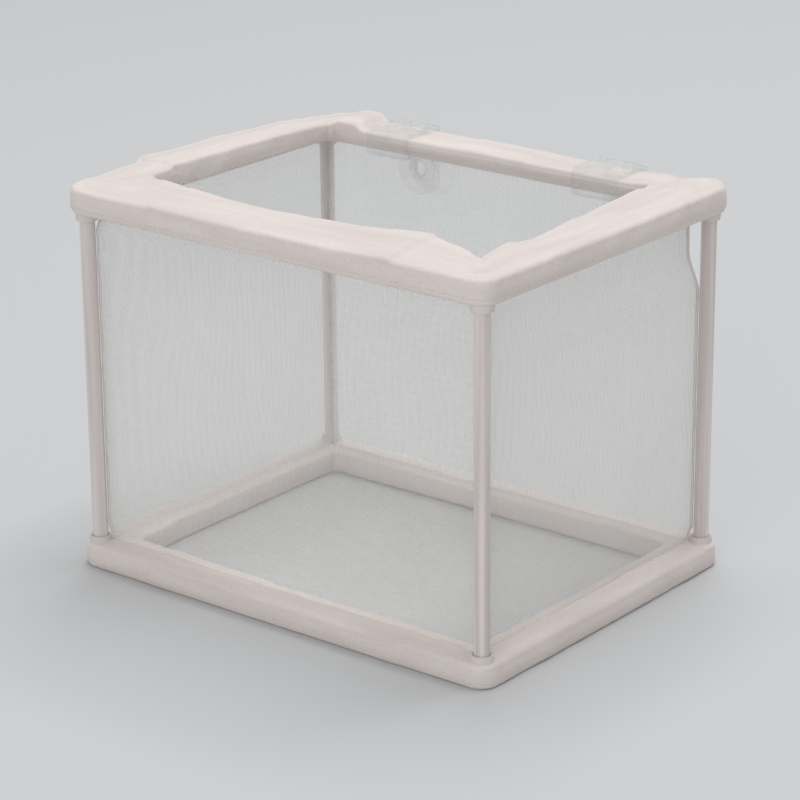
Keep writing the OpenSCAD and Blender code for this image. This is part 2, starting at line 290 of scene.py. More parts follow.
def quad_piece(name, points, quads, uv=None):
    """A mesh object from points in millimetres and faces of four corners."""
    mesh = bpy.data.meshes.new(name)
    quads = np.asarray(quads, np.int32)
    mesh.vertices.add(len(points))
    mesh.vertices.foreach_set("co", (np.asarray(points, float) * MM).astype(np.float32).ravel())
    mesh.loops.add(quads.size)
    mesh.loops.foreach_set("vertex_index", quads.ravel())
    mesh.polygons.add(len(quads))
    mesh.polygons.foreach_set("loop_start", np.arange(0, quads.size, 4, dtype=np.int32))
    if uv is not None:
        layer = mesh.uv_layers.new(name="cloth")
        layer.data.foreach_set("uv", np.asarray(uv, np.float32).ravel())
    mesh.update(calc_edges=True)
    mesh.validate()
    piece = bpy.data.objects.new(name, mesh)
    bpy.context.scene.collection.objects.link(piece)
    return piece


def mesh_volume(piece):
    """Signed volume of a closed mesh; it is negative where the faces point inwards."""
    work = bmesh.new()
    work.from_mesh(piece.data)
    volume = work.calc_volume(signed=True)
    work.free()
    return volume


def face_outwards(piece):
    """Turns a closed mesh right side out."""
    if mesh_volume(piece) < 0:
        piece.data.flip_normals()


def only(piece):
    """Leaves nothing selected but this piece, and makes it active."""
    for other in bpy.context.view_layer.objects:
        other.select_set(False)
    piece.select_set(True)
    bpy.context.view_layer.objects.active = piece


def add_modifier(piece, kind, **settings):
    """Adds a modifier and applies it."""
    only(piece)
    modifier = piece.modifiers.new(kind.lower(), kind)
    for key, value in settings.items():
        setattr(modifier, key, value)
    bpy.ops.object.modifier_apply(modifier=modifier.name)


def recalculate(piece):
    """Turns each face of a closed mesh outwards."""
    only(piece)
    bpy.ops.object.mode_set(mode="EDIT")
    bpy.ops.mesh.select_all(action="SELECT")
    bpy.ops.mesh.normals_make_consistent(inside=False)
    bpy.ops.object.mode_set(mode="OBJECT")


def smooth(piece, degrees):
    """Shades a piece smooth, but for edges that are sharper than this."""
    only(piece)
    bpy.ops.object.shade_smooth_by_angle(angle=math.radians(degrees))


def dress(piece, material, slot, body, *nodes):
    """Gives a piece its material and body, and hides the nodes it stands for. Its slot is not used."""
    piece.data.materials.clear()
    piece.data.materials.append(material)
    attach(piece, body)
    if nodes:
        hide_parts(*nodes)
    return piece


# The most that a wave's phase is shifted
PHASE = 6.28


def ripple(x, y, seed, waves, low, high, period=None):
    """A smooth field of seeded waves, about -1 to 1. Wavelengths run from low to
    high along x; with a period, it joins up with itself along x."""
    draw = np.random.RandomState(seed)
    field = np.zeros(np.broadcast(x, y).shape)
    for _ in range(waves):
        length = draw.uniform(low, high)
        cycles = 1 / length
        if period:
            cycles = max(1, round(period * cycles)) / period
        across = draw.uniform(-1, 1) / (0.6 * length)
        field = field + np.sin(2 * math.pi * (cycles * x + across * y) + draw.uniform(0, PHASE))
    return field / math.sqrt(waves)


# ---------------------------------------------------------------- hems

# Along each side of the top hem, in order from its left or front end: place,
# lift of its outer and inner edges, how far it stands out, and its width
TOP_SWELL = {
    "front": [
        (-83, 0.9, 1.9, 0.3, 19.2), (-74, 0.5, 2.2, 0.2, 20.2), (-65, 0.4, 2.5, 0.2, 21.6),
        (-57, 0.4, 2.3, 0.3, 22.0), (-49, 0.6, 1.9, 0.3, 21.2), (-38, 0.6, 1.5, 0.4, 19.8),
        (-23, 0.5, 1.4, 0.5, 19.0), (-4, 0.4, 1.4, 0.5, 19.3), (11, 0.5, 1.5, 0.5, 20.7),
        (27, 0.5, 1.8, 0.5, 21.5), (35, 0.6, 2.2, 0.4, 22.6), (41, 0.6, 2.6, 0.4, 23.4),
        (48, 0.6, 2.5, 0.4, 23.2), (53, 0.6, 2.3, 0.3, 22.4), (60, 0.5, 1.8, 0.2, 20.7),
        (65, 0.5, 1.5, 0.2, 18.7), (71, 0.5, 1.2, 0.2, 18.3), (83, 0.5, 0.9, 0.2, 17.6),
    ],
    "right": [
        (-64, 0.5, 0.9, 0.2, 15.4), (-54, 0.5, 0.9, 0.2, 15.6), (-46, 0.4, 1.0, 0.2, 16.3),
        (-42, 0.4, 1.0, 0.2, 16.7), (-32, 0.4, 1.7, 0.3, 17.6), (-28, 0.4, 0.8, 0.4, 16.4),
        (-22, 0.4, 0.6, 0.4, 15.6), (-10, 0.4, 0.9, 0.5, 16.6), (10, 0.5, 1.2, 0.5, 17.8),
        (25, 0.5, 1.4, 0.5, 18.8), (40, 0.6, 1.5, 0.4, 19.4), (52, 0.8, 1.8, 0.4, 19.8),
        (60, 0.9, 1.7, 0.4, 19.0), (64, 1.0, 1.6, 0.4, 18.2),
    ],
    "back": [
        (-83, -1.5, 0.9, 0.1, 16.5), (-79, -0.7, 1.0, 0.2, 16.5), (-75, 0.3, 1.3, 0.2, 16.3),
        (-70, 1.2, 1.7, 0.2, 16.2), (-65, 2.4, 2.1, 0.3, 16), (-62, 3.1, 2.3, 0.3, 16),
        (-55.6, 3.3, 2.3, 0.3, 16), (-55.2, 0.1, 0.2, 0.1, 16), (-16, 0.2, 0.3, 0.1, 16),
        (-10, 0.6, 0.6, 0.2, 16), (10, 0.6, 0.6, 0.2, 16), (16, 0.2, 0.3, 0.1, 16),
        (54, 0.2, 0.3, 0.1, 16), (61, 0.8, 0.9, 0.1, 15.6), (69, -0.3, 0.3, 0.1, 16),
        (76, 2.1, 1.5, 0.5, 16.6), (83, 1.2, 1.6, 0.5, 18),
    ],
    "left": [
        (-64, 1.2, 2.0, 0.3, 19), (-57, 1.3, 2.0, 0.3, 18.6), (-51, 1.4, 2.0, 0.3, 17.6),
        (-45, 1.7, 2.1, 0.3, 16.3), (-38, 2.0, 2.3, 0.3, 15.6), (-28, 2.0, 2.5, 0.5, 15.6),
        (5, 2.0, 2.5, 0.6, 16), (20, 1.5, 2.2, 0.5, 16), (32, 1.0, 1.7, 0.5, 16),
        (44, 0.2, 1.2, 0.4, 16.2), (54, -0.5, 0.9, 0.2, 16.4), (64, -1.5, 0.9, 0.1, 16.5),
    ],
}
# Height of the top hem's inner lower edge above the hem's foot, along each side
TOP_RISE = {
    "front": [(-83, 3.5), (83, 3.5)],
    "right": [(-64, 3.5), (64, 3.5)],
    "back": [
        (-83, 3.2), (-68, 4.3), (-60, 4.3), (-55, 3.0), (-48, 3.3), (-30, 4.0), (60, 4.4),
        (83, 3.6),
    ],
    "left": [(-64, 3.2), (-50, 2.9), (50, 2.9), (64, 3.2)],
}
# The same as TOP_SWELL, for the bottom hem
BOTTOM_SWELL = {
    "front": [
        (-83, 0.3, 0.4, 0.2, 14.5), (-60, 0.3, 0.5, 0.3, 13.6), (0, 0.1, 0.3, 0.5, 12.6),
        (45, 0.2, 0.4, 0.4, 12.9), (83, 0.3, 0.4, 0.2, 13),
    ],
    "right": [
        (-64, 0.3, 0.4, 0.2, 13), (0, 0.1, 0.4, 0.5, 12.6), (40, 0.3, 0.5, 0.3, 13),
        (64, 0.4, 0.6, 0.3, 13.4),
    ],
    "back": [
        (-83, 0.4, 0.4, 0.2, 13), (-20, 0.1, 0.3, 0.4, 12.5), (30, 0.2, 0.5, 0.4, 12.9),
        (83, 0.4, 0.6, 0.3, 13.4),
    ],
    "left": [
        (-64, 0.3, 0.4, 0.2, 14.5), (-20, 0.2, 0.5, 0.5, 12.8), (30, 0.1, 0.3, 0.4, 12.5),
        (64, 0.4, 0.4, 0.2, 13),
    ],
}
# Ends of the sleeves on the rails: side, place, the way that the sleeve runs from
# there, its lift and how far that lift reaches
TOP_SLEEVE_ENDS = [
    ("left", -29.5, 1, 1.1, 30), ("left", 41, -1, 0.3, 10), ("front", -47, 1, 0.7, 16),
    ("front", 47.5, -1, 1.1, 14), ("right", -31, 1, 0.5, 12), ("right", 40, -1, 0.5, 14),
    ("back", 67.5, 1, 0.6, 8),
]
# Single creases in the top: place, heading in degrees, half width, reach and
# depth. The last one is raised: a socket presses up under the cloth there
TOP_MARKS = [
    (-58, -55.2, 24, 1.0, 5.0, -1.6),
    (76.2, -57.6, 40, 0.9, 2.3, -3.6),
    (78.3, -59.5, 40, 1.5, 2.8, 1.3),
]
BOTTOM_SLEEVE_ENDS = [
    ("front", -52, 1, 0.45, 12), ("front", 50, -1, 0.5, 14), ("right", -34, 1, 0.45, 12),
    ("right", 33, -1, 0.45, 12), ("back", -50, 1, 0.4, 12), ("back", 51, -1, 0.4, 12),
    ("left", -33, 1, 0.4, 12), ("left", 34, -1, 0.45, 12),
]
# Rounding of the opening at the start of each side, in the order of SIDES
TOP_INNER_ROUND = (9.0, 2.5, 3.0, 2.5)
BOTTOM_INNER_ROUND = (3.0, 2.0, 2.5, 2.5)
# Share of its depth that a fold or crease gets in each hem, and the hems' seeds
TOP_CREASE, BOTTOM_CREASE = 0.45, 0.35
TOP_SEED, BOTTOM_SEED = 11, 23
# Distance between the stations of a hem
STATION_PITCH = 0.85
# Fewest stations over half of a corner
CORNER_STATIONS = 12
# Where the flat underside of the bottom hem ends, as a share of its width
BOTTOM_FLAP_SHARE = 0.6
# Blur along a hem: of its lifts and widths, of a sleeve's end, and of the calm
# where a clip slides
SWELL_BLUR, END_BLUR, CALM_BLUR = 1.3, 0.55, 1.6
# Shares of a sleeve end's lift that go to the inner edge, and outwards
END_INWARDS, END_OUTWARDS = 0.8, 0.45
# Stretch of the back side where a clip slides, from its middle either way, and
# the share of the cloth's play that is taken out there
CLIP_FROM, CLIP_TO, CLIP_CALM = 15.5, 55.5, 0.8
# Radii of a section: its outer and inner top edges, and its foot
BEND, TURN, FOOT = 1.6, 1.3, 1.3
# Play of the cloth: long waves, short ones, puckers over a stitched row, and
# gathers at a sleeve's end
WAVES, WRINKLES, PUCKERS, GATHERS = 0.13, 0.035, 0.07, 0.10
# Height over the lower edge at which the play is full, and the middle and
# breadth of the puckers
PLAY_FADE, PUCKER_HEIGHT, PUCKER_SPREAD = 1.6, 1.3, 1.1
FOLDS_AT_A_CORNER = 4
CLOTH_THICKNESS = 0.6
# The map's step from the last point of a section round to the first
CLOSING_STEP = 0.9
# Loop points of a section: on the outer face, where the inner face starts, and
# the lower stitched row of either face
OUTER_FACE, INNER_FACE = 8, 40
STITCHED_ROWS = (5, 46)
# A stitch: its length, its width and half its height, how far apart they are, how
# far ahead each one looks for its heading, and how far its middle is off the cloth
STITCH_LENGTH, STITCH_WIDTH, STITCH_RISE = 1.6, 0.3, 0.14
STITCH_PITCH, STITCH_AHEAD, STITCH_OFF = 2.2, 0.6, 0.05
# The way into the box from each side
INWARDS = {"front": (0, 1), "right": (-1, 0), "back": (0, -1), "left": (1, 0)}


def half_side(side, width, start_round, end):
    """Stations over half of one side, from the middle of its corner to the middle
    of the side, in its own frame: outer and inner points, and each one's share in
    the corner. With an end of 1 the side's middle is the last of them."""
    along, across = (HALF_X, HALF_Y) if side in ("front", "back") else (HALF_Y, HALF_X)
    arc = CORNER_ROUND * math.pi / 4
    fan = width + start_round - CORNER_ROUND
    fan_count = max(CORNER_STATIONS, int((arc + fan) / STATION_PITCH))
    outer, inner = [], []
    for i in range(fan_count):
        reach = (arc + fan) * i / fan_count
        if reach < arc:
            angle = math.radians(225) + reach / CORNER_ROUND
            x = -along + CORNER_ROUND * (1 + math.cos(angle))
            y = -across + CORNER_ROUND * (1 + math.sin(angle))
        else:
            x, y = -along + CORNER_ROUND + reach - arc, -across
        outer.append((x, y))
        angle = math.radians(225 + 45 * i / fan_count)
        x = -along + width + start_round * (1 + math.cos(angle))
        y = -across + width + start_round * (1 + math.sin(angle))
        inner.append((x, y))
    straight = along - width - start_round
    count = int(straight / STATION_PITCH)
    for i in range(count + end):
        u = -straight * (1 - i / count)
        outer.append((u, -across))
        inner.append((u, -across + width))
    share = np.zeros(len(outer))
    share[:fan_count] = 1 - np.arange(fan_count) / fan_count
    return np.array(outer), np.array(inner), share


def hem_stations(width, inner_round):
    """Matched outer and inner points once round a hem, with each one's side, the
    side that lies round its corner, and its share in that corner."""
    outers, inners, names, beside, shares = [], [], [], [], []
    for k, side in enumerate(SIDES):
        turn = math.radians(90 * k)
        matrix = np.array([[math.cos(turn), math.sin(turn)], [-math.sin(turn), math.cos(turn)]])
        first = half_side(side, width, inner_round[k], 1)
        second = half_side(side, width, inner_round[(k + 1) % 4], 0)
        mirrored = [part[::-1] * (-1, 1) for part in second[:2]]
        # The far half ends on the middle of the next corner, which starts the next side
        for part, halves in ((outers, (first[0], mirrored[0])), (inners, (first[1], mirrored[1]))):
            part.append(np.concatenate([halves[0], halves[1][:-1]]) @ matrix)
        names += [side] * len(outers[-1])
        beside += [SIDES[k - 1]] * len(first[2])
        beside += [SIDES[(k + 1) % 4]] * (len(second[2]) - 1)
        shares.append(np.concatenate([first[2], second[2][::-1][:-1]]))
    outers, inners, shares = (np.concatenate(parts) for parts in (outers, inners, shares))
    return outers, inners, np.array(names), np.array(beside), shares


def blur_round(values, sigma):
    """Smooths values round a closed loop."""
    # Four times sigma takes in all of the bell that counts
    reach = int(4 * sigma) + 1
    kernel = np.exp(-0.5 * (np.arange(-reach, reach + 1) / sigma) ** 2)
    kernel /= kernel.sum()
    wrapped = np.concatenate([values[-reach:], values, values[:reach]])
    return np.convolve(wrapped, kernel, "valid")


class Hem:
    """A soft sleeve sewn round one ring of rails, measured in millimetres. With a
    rise, its inner lower edge stands higher, and its cloth is calm where a clip
    slides."""

    def __init__(self, base, width, swell, ends, inner_round, crease, seed, rise=None, marks=()):
        self.base, self.seed, self.crease, self.marks = base, seed, crease, marks
        outer, inner, names, beside, share = hem_stations(width, inner_round)
        self.outer, self.count = outer, len(outer)
        step = np.linalg.norm(np.roll(outer, -1, 0) - outer, axis=1)
        self.length = step.sum()
        self.run = np.concatenate([[0], np.cumsum(step)[:-1]])
        place = np.where((names == "front") | (names == "back"), outer[:, 0], outer[:, 1])
        # Where the flat underside over the rail ends and the soft flap begins
        flap_share = FLAP_START / TOP_HEM_WIDTH if rise else BOTTOM_FLAP_SHARE
        self.flap = np.linalg.norm(inner - outer, axis=1) * flap_share
        # Lifts of the outer and inner edges, how far out it stands, and its rise
        fields = np.zeros((4, self.count))
        for side, rows in swell.items():
            mine = names == side
            table = np.array(rows, float)
            for i in range(3):
                fields[i, mine] = np.interp(place[mine], table[:, 0], table[:, i + 1])
            if rise:
                low = np.array(rise[side], float)
                fields[3, mine] = np.interp(place[mine], low[:, 0], low[:, 1])
            # A side's cloth is widened straight into the box, mitred at its corners
            axis, end = (0, HALF_X) if side in ("front", "back") else (1, HALF_Y)
            wide = np.interp(outer[:, axis], table[:, 0], table[:, 4]) - width
            ends_of_side = np.sign(outer[:, axis]) * end
            corner = np.interp(ends_of_side, table[:, 0], table[:, 4]) - width
            move = np.where(mine, wide, np.where(beside == side, share * corner, 0))
            inner = inner + move[:, None] * np.array(INWARDS[side])
        blur = SWELL_BLUR / STATION_PITCH
        inner = np.stack([blur_round(inner[:, k], blur) for k in range(2)], 1)
        lift_out, lift_in, out, self.rise = (blur_round(row, blur) for row in fields)
        lip = np.zeros(self.count)
        for side, at, way, lift, reach in ends:
            beyond = (place - at) * way
            raised = lift * np.exp(-np.maximum(beyond, 0) / reach)
            lip += np.where((names == side) & (beyond > 0), raised, 0)
        lip = blur_round(lip, END_BLUR / STATION_PITCH)
        self.lip = lip
        self.lift_out, self.lift_in = lift_out + lip, lift_in + END_INWARDS * lip
        self.out = out + END_OUTWARDS * lip
        direction = inner - outer
        self.distance = np.linalg.norm(direction, axis=1)
        self.inward = direction / self.distance[:, None]
        # Less play in the cloth where a clip slides over it
        self.calm = np.ones(self.count)
        if rise:
            aside = np.abs(place)
            under = (names == "back") & (aside > CLIP_FROM) & (aside < CLIP_TO)
            self.calm = 1 - CLIP_CALM * blur_round(under.astype(float), CALM_BLUR / STATION_PITCH)

    def section(self, i):
        """The loop of the sleeve at one station: across and up, from the outer
        foot, up, over, down and back under."""
        wide = self.distance[i] + self.out[i]
        start = -self.out[i]
        high_out = HEM_HEIGHT + self.lift_out[i]
        high_in = HEM_HEIGHT + self.lift_in[i]
        rise, flap = self.rise[i], start + self.flap[i]
        # The inner lower edge gets sharper as it rises
        toe = FOOT - 0.1 * rise
        loop = []

        def arc(x, z, radius, first, last, count):
            for k in range(count):
                angle = math.radians(first + (last - first) * k / (count - 1))
                loop.append((x + radius * math.cos(angle), z + radius * math.sin(angle)))

        def line(a, b, count, bulge, side):
            for k in range(1, count):
                t = k / count
                push = bulge * math.sin(math.pi * t)
                x = a[0] + (b[0] - a[0]) * t + side[0] * push
                loop.append((x, a[1] + (b[1] - a[1]) * t + side[1] * push))

        # Foot, outer face, top, inner face and inner foot; the flats are a little full
        end = start + wide
        arc(start + FOOT, FOOT, FOOT, 270, 180, 5)
        line((start, FOOT), (start, high_out - BEND), 7, 0.35, (-1, 0))
        arc(start + BEND, high_out - BEND, BEND, 180, 90, 7)
        line((start + BEND, high_out), (end - TURN, high_in), 16, 0.5 * self.calm[i], (0, 1))
        arc(end - TURN, high_in - TURN, TURN, 90, 0, 7)
        line((end, high_in - TURN), (end, rise + toe), 7, 0.25, (1, 0))
        arc(end - toe, rise + toe, toe, 0, -90, 5)
        # The soft flap slopes down to the rail, and the cloth turns round its edge
        snug = min(rise, 1)
        turned = [(flap - 0.4, 0.92 * snug), (flap - 1.1, 0.55 * snug), (flap - 1.9, 0.4 * snug)]
        line((end - toe, rise), turned[0], 7, 0.0, (0, -1))
        loop.extend(turned)
        line(turned[-1], (start + FOOT, 0), 5, 0.0, (0, -1))
        return np.array(loop)

    def surface(self):
        """Points of the sleeve as stations by loop points, their normals, and how
        far round its section each one lies."""
        loops = np.array([self.section(i) for i in range(self.count)])
        across, up = loops[..., 0], loops[..., 1]
        grid = np.empty(loops.shape[:2] + (3,))
        grid[..., :2] = self.outer[:, None, :] + across[..., None] * self.inward[:, None, :]
        grid[..., 2] = self.base + up
        steps = np.linalg.norm(np.diff(loops, axis=1), axis=2)
        girth = np.concatenate([np.zeros((self.count, 1)), np.cumsum(steps, axis=1)], axis=1)
        around = np.roll(grid, -1, 0) - np.roll(grid, 1, 0)
        over = np.roll(grid, -1, 1) - np.roll(grid, 1, 1)
        normal = np.cross(around, over)
        normal /= np.linalg.norm(normal, axis=2, keepdims=True)
        # Normals point out of the sleeve: its first upright face looks away from the box
        if (normal[:, OUTER_FACE, :2] * self.inward).sum() > 0:
            normal = -normal
        run = self.run[:, None]
        # Height above the lower edge of the face that a point is on
        above = up.copy()
        above[:, INNER_FACE:] -= self.rise[:, None]
        fade = np.clip(above / PLAY_FADE, 0, 1)

        def play(turn, across, waves, low, high):
            return ripple(run, across, self.seed + turn, waves, low, high, self.length)

        soft = WAVES * play(0, girth, 9, 12, 40)
        soft += WRINKLES * play(1, girth, 9, 4, 9)
        # Puckers only show on the upright faces
        pucker = np.exp(-(((above - PUCKER_HEIGHT) / PUCKER_SPREAD) ** 2)) * (normal[..., 2] ** 2 < 0.5)
        soft += PUCKERS * pucker * play(2, 0 * girth, 6, 3.2, 6.5)
        edge = np.abs(np.gradient(self.lip))[:, None]
        soft += GATHERS * np.minimum(edge * 6, 1) * play(3, girth, 8, 2.5, 5)
        soft += self.crease * self.corner_folds(grid)
        grid = grid + normal * (soft * fade * self.calm[:, None])[..., None]
        grid[..., 2] = np.maximum(grid[..., 2], self.base)
        return grid, normal, girth

    def corner_folds(self, grid):
        """Short folds near each corner, and the hem's single creases."""

        def fold(x, y, heading, width, reach):
            offset = grid[..., :2] - np.array((x, y))
            along = offset @ (math.cos(heading), math.sin(heading))
            aside = offset @ (-math.sin(heading), math.cos(heading))
            return np.exp(-((aside / width) ** 2) - (along / reach) ** 2)

        folds = np.zeros(grid.shape[:2])
        draw = np.random.RandomState(self.seed + 9)
        for x, y in CORNERS.values():
            for _ in range(FOLDS_AT_A_CORNER):
                heading = draw.uniform(0, 2 * math.pi)
                fold_x = x * (HALF_X - draw.uniform(5, 16))
                fold_y = y * (HALF_Y - draw.uniform(5, 16))
                width, reach = draw.uniform(0.8, 1.6), draw.uniform(4, 9)
                folds += draw.uniform(-1, 1) * fold(fold_x, fold_y, heading, width, reach)
        for x, y, heading, width, reach, depth in self.marks:
            folds += depth * fold(x, y, math.radians(heading), width, reach)
        return folds


def ring_quads(stations, loop):
    """Faces of a grid that is closed both ways."""
    i, j = np.meshgrid(np.arange(stations), np.arange(loop), indexing="ij")
    here, ahead = i * loop, ((i + 1) % stations) * loop
    other = (j + 1) % loop
    return np.stack([here + j, ahead + j, ahead + other, here + other], -1).reshape(-1, 4)


def sew_hem(name, hem, cloth, nodes):
    """The sleeve itself, as cloth with its real thickness. Its map runs along the
    hem and round its section, in millimetres."""
    grid, _, girth = hem.surface()
    stations, loop = grid.shape[:2]
    quads = ring_quads(stations, loop)
    run = np.append(hem.run, hem.length)
    i, j = np.meshgrid(np.arange(stations), np.arange(loop), indexing="ij")
    whole = np.append(girth, girth[:, -1:] + CLOSING_STEP, axis=1)
    corners = []
    for ahead, other in ((0, 0), (1, 0), (1, 1), (0, 1)):
        around = whole[(i + ahead) % stations, j + other]
        corners.append(np.stack([run[i + ahead], around], -1))
    uv = np.stack(corners, 2)
    piece = quad_piece(name, grid.reshape(-1, 3), quads, uv.reshape(-1, 2))
    face_outwards(piece)
    add_modifier(piece, "SOLIDIFY", thickness=CLOTH_THICKNESS * MM, offset=-1.0)
    smooth(piece, 60)
    return dress(piece, cloth, "hem_cloth", "box", *nodes)


def stitch_shape():
    """One stitch: a small closed bar of six sides, thin at both ends."""
    # Place along the stitch and thickness there, both as shares
    rings = [(-0.5, 0.35), (-0.36, 0.9), (0.0, 1.0), (0.36, 0.9), (0.5, 0.35)]
    points, quads = [], []
    for at, share in rings:
        for k in range(6):
            angle = math.pi / 3 * k
            y, z = STITCH_WIDTH / 2 * math.cos(angle), STITCH_RISE * math.sin(angle)
            points.append((at * STITCH_LENGTH, share * y, share * z))
    for r in range(len(rings) - 1):
        for k in range(6):
            n = (k + 1) % 6
            quads.append((r * 6 + k, r * 6 + n, r * 6 + 6 + n, r * 6 + 6 + k))
    last = 6 * (len(rings) - 1)
    quads += [(3, 2, 1, 0), (5, 4, 3, 0)]
    quads += [(last, last + 1, last + 2, last + 3), (last, last + 3, last + 4, last + 5)]
    return np.array(points), np.array(quads)


def sew_stitches(name, hem, rows, thread):
    """Rows of stitches on a hem; each row is a loop point of its sections."""
    grid, normal, _ = hem.surface()
    shape, quads = stitch_shape()
    points, faces = [], []
    for row in rows:
        line, face = grid[:, row], normal[:, row]
        closed = np.vstack([line, line[:1]])
        run = np.concatenate([[0], np.cumsum(np.linalg.norm(np.diff(closed, axis=0), axis=1))])
        number = int(run[-1] / STITCH_PITCH)
        marks = (np.arange(number) + 0.5) * run[-1] / number
        middle, ahead = (
            np.stack([np.interp(at, run, closed[:, k]) for k in range(3)], 1)
            for at in (marks, (marks + STITCH_AHEAD) % run[-1])
        )
        nearest = np.searchsorted(run, marks) % len(line)
        along = ahead - middle
        along /= np.linalg.norm(along, axis=1, keepdims=True)
        up = face[nearest]
        up = up - (up * along).sum(1, keepdims=True) * along
        up /= np.linalg.norm(up, axis=1, keepdims=True)
        side = np.cross(up, along)
        for m, a, s, u in zip(middle, along, side, up):
            faces.append(quads + len(points) * len(shape))
            points.append(m + shape[:, :1] * a + shape[:, 1:2] * s + (shape[:, 2:] + STITCH_OFF) * u)
    piece = quad_piece(name, np.concatenate(points), np.concatenate(faces))
    face_outwards(piece)
    smooth(piece, 50)
    return dress(piece, thread, "hem_cloth", "box")


# ---------------------------------------------------------------- net

# Distance between threads, their thickness, the length of their straight pieces,
# and the most that one strays from its place, as a share of the distance
NET_PITCH = 0.5
THREAD = 0.09
NET_SEGMENT = 8.0
STRAY = 0.1
# Where an upright thread bends near either end, and where even pieces begin
END_KNOTS = (0, 2.6, 3.6, 4.5, 5.6)
EVEN_KNOTS_FROM = 7.2
# How far the bag fills out towards the posts: at its hems, at the mouths of the
# collars, and between them
FILL_AT_HEM, FILL_AT_MOUTH, FILL_OUT = 0.05, 0.27, 0.98
# How far a collar's mouth is from its hem, and how much further on the bag is
# filled out
MOUTH_HEIGHT, FILL_RUN = 2.5, 3.5
# Corner where the top of the bag hangs slack, how far it falls in there, from
# which height and over how much
SLACK_CORNER, SLACK, SLACK_FROM, SLACK_RUN = "back_right", -1.45, 93, 14
# How far a wall bows out at its middle, in the order of SIDES, how much it
# billows, and how firmly its edges hold it
WALL_BOWS = (-0.8, 0.5, -0.6, 0.7)
BILLOW, HOLD = 0.55, 0.7
BILLOW_SEED, NET_SEED, FLOOR_SEED, SEAM_SEED = 40, 80, 84, 60
# How far the walls are tucked into the bottom and the top hem, the floor into the
# bottom one, and the floor's height
WALL_TUCK_LOW, WALL_TUCK_HIGH = 0.3, 0.4
FLOOR_TUCK, FLOOR_HEIGHT = 0.5, 0.25
# The tape folded over a seam: its legs, half its thickness, how far it is tucked
# into the bottom hem, and the distance between its levels
TAPE_LEG, TAPE_SKIN, TAPE_TUCK, TAPE_PITCH = 1.05, 0.13, 0.4, 1.4


def eased(share):
    """A share from 0 to 1, eased in and out."""
    share = np.clip(share, 0, 1)
    return share * share * (3 - 2 * share)


def filled(corner, z):
    """How far one upright edge of the bag stands out of its hems at a height."""
    end = np.minimum(z - HEM_HEIGHT, TOP_HEM_BASE - z)
    out = FILL_AT_HEM + (FILL_AT_MOUTH - FILL_AT_HEM) * np.clip(end / MOUTH_HEIGHT, 0, 1)
    out = out + (FILL_OUT - FILL_AT_MOUTH) * eased((end - MOUTH_HEIGHT) / FILL_RUN)
    if corner == SLACK_CORNER:
        fallen = eased((z - SLACK_FROM) / SLACK_RUN)
        out = out * (1 - fallen) + SLACK * fallen
    return out


def threads_along(lines, normal, side):
    """Square threads along lines of points, closed at both ends."""
    count, knots = lines.shape[:2]
    half = THREAD / 2
    corners = [(-1, -1), (1, -1), (1, 1), (-1, 1)]
    points = np.stack([lines + half * (a * normal + b * side) for a, b in corners], 2)
    base = np.arange(count * knots).reshape(count, knots) * 4
    walls = []
    here, ahead = base[:, :-1], base[:, 1:]
    for k in range(4):
        n = (k + 1) % 4
        walls.append(np.stack([here + k, here + n, ahead + n, ahead + k], -1))
    quads = np.concatenate([w.reshape(-1, 4) for w in walls])
    first = base[:, 0][:, None] + np.array([3, 2, 1, 0])
    last = base[:, -1][:, None] + np.array([0, 1, 2, 3])
    return points.reshape(-1, 3), np.concatenate([quads, first, last])


def spread(low, high, pitch):
    """Evenly spaced places between two ends, about a pitch apart."""
    return np.linspace(low, high, int(round((high - low) / pitch)) + 1)


def loose(places, seed):
    """The same places, each a little off as in knitted net."""
    shift = np.random.RandomState(seed).uniform(-STRAY, STRAY, len(places)) * NET_PITCH
    shift[[0, -1]] = 0
    return places + shift


def weave_net(name, origin, axes, size, shape, fills, seed, material, node):
    """A net of crossed threads. Its axes go across it, up it and out of it, shape
    gives how far it stands off its flat, and fills how far its two side edges
    move outwards at a height."""
    (across, up, normal), (width, height) = axes, size
    across, up, normal, origin = (np.array(v, float) for v in (across, up, normal, origin))
    half = width / 2

    def at(u, v, off):
        share = (u + half) / width
        first, second = fills[0](v), fills[1](v)
        push = shape(u, v) + first * (1 - share) + second * share + off
        u = u - first * (1 - share) + second * share
        return origin + u[..., None] * across + v[..., None] * up + push[..., None] * normal

    ends = np.array(END_KNOTS)
    even = spread(EVEN_KNOTS_FROM, height - EVEN_KNOTS_FROM, NET_SEGMENT)
    knots = np.concatenate([ends, even, height - ends[::-1]])
    u, v = np.meshgrid(loose(spread(-half, half, NET_PITCH), seed), knots, indexing="ij")
    uprights = threads_along(at(u, v, THREAD / 4), normal, across)
    rows = loose(spread(NET_PITCH / 2, height - NET_PITCH / 2, NET_PITCH), seed + 10)
    v, u = np.meshgrid(rows, spread(-half, half, NET_SEGMENT), indexing="ij")
    levels = threads_along(at(u, v, -THREAD / 4), normal, up)
    parts, total = [], 0
    for points, quads in (uprights, levels):
        work = quad_piece("threads", points, quads)
        if mesh_volume(work) < 0:
            quads = quads[:, ::-1]
        bpy.data.objects.remove(work)
        parts.append((points, quads + total))
        total += len(points)
    points, quads = (np.concatenate(arrays) for arrays in zip(*parts))
    return dress(quad_piece(name, points, quads), material, "net_mesh", "box", node)


def wall_shape(width, height, bow, seed):
    """A wall that hangs from its hems: held at its edges, slack between them."""

    def shape(u, v):
        held_across = np.sin(math.pi * np.clip(u / width + 0.5, 0, 1)) ** HOLD
        held_up = np.sin(math.pi * np.clip(v / height, 0, 1)) ** HOLD
        return held_across * held_up * (bow + BILLOW * ripple(u, v, seed, 5, 60, 160))

    return shape


def flat_shape(*places):
    """A net, or an edge of one, that stands off nowhere."""
    return 0.0 * places[0]


